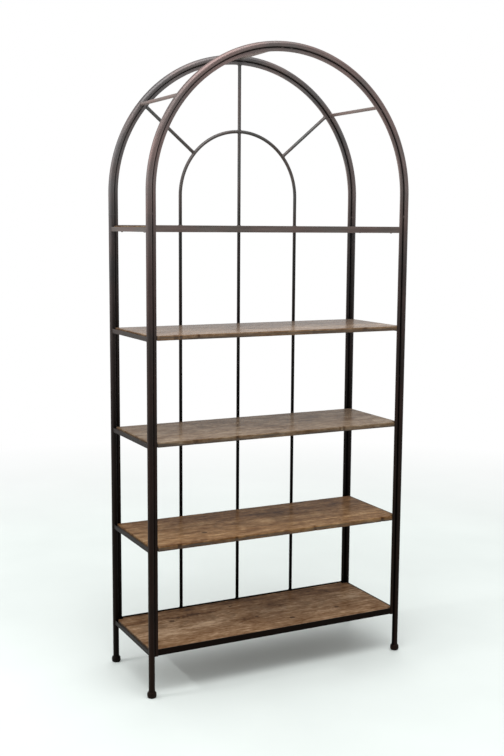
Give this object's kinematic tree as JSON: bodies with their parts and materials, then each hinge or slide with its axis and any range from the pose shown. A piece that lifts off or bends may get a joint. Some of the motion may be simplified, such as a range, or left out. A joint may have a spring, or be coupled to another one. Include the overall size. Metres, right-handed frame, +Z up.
{
  "type": "arched bookshelf",
  "caption": "Tall open shelving unit: two dark metal tube arches joined by wooden boards on angle-iron rails, with a fan of rods and a small inner arch at the back.",
  "frame": {"origin": "on the floor under the middle of the frame", "axes": "+Z up, +X to the right as seen from the front, +Y to the back where the rods are"},
  "size_m": [1.0106, 0.381, 2.18],
  "materials": {
    "patinated_iron": "dark brown-black patina under a satin lacquer, rubbed lighter in places",
    "angle_iron": "dark brown-black patina under a satin lacquer, with mill marks",
    "turned_feet": "turned and patinated, satin lacquer",
    "reclaimed_wood": "reclaimed softwood boards, brown stain under a thin wax, knots and nail marks",
    "screws": "blackened steel"
  },
  "bodies": {
    "root": {"front_left_post": "patinated_iron", "front_left_post_bar": "patinated_iron", "front_left_arch": "patinated_iron", "front_left_arch_bar": "patinated_iron", "front_left_foot": "turned_feet", "front_right_post": "patinated_iron", "front_right_post_bar": "patinated_iron", "front_right_arch": "patinated_iron", "front_right_arch_bar": "patinated_iron", "front_right_foot": "turned_feet", "back_left_post": "patinated_iron", "back_left_post_bar": "patinated_iron", "back_left_arch": "patinated_iron", "back_left_arch_bar": "patinated_iron", "back_left_foot": "turned_feet", "back_right_post": "patinated_iron", "back_right_post_bar": "patinated_iron", "back_right_arch": "patinated_iron", "back_right_arch_bar": "patinated_iron", "back_right_foot": "turned_feet", "top_front_rail": "angle_iron", "top_back_rail": "angle_iron", "bottom_front_rail": "angle_iron", "bottom_back_rail": "angle_iron", "top_left_rail": "angle_iron", "top_right_rail": "angle_iron", "upper_left_rail": "angle_iron", "upper_right_rail": "angle_iron", "middle_left_rail": "angle_iron", "middle_right_rail": "angle_iron", "lower_left_rail": "angle_iron", "lower_right_rail": "angle_iron", "bottom_left_rail": "angle_iron", "bottom_right_rail": "angle_iron", "top_board": "reclaimed_wood", "upper_board": "reclaimed_wood", "middle_board": "reclaimed_wood", "lower_board": "reclaimed_wood", "bottom_board": "reclaimed_wood", "inner_arch_rod": "patinated_iron", "centre_arch_rod": "patinated_iron", "left_spoke": "patinated_iron", "left_back_rod": "patinated_iron", "left_strut": "patinated_iron", "centre_spoke": "patinated_iron", "centre_back_rod": "patinated_iron", "top_strut": "patinated_iron", "right_spoke": "patinated_iron", "right_back_rod": "patinated_iron", "right_strut": "patinated_iron", "board_screws": "screws"}
  },
  "joints": []
}
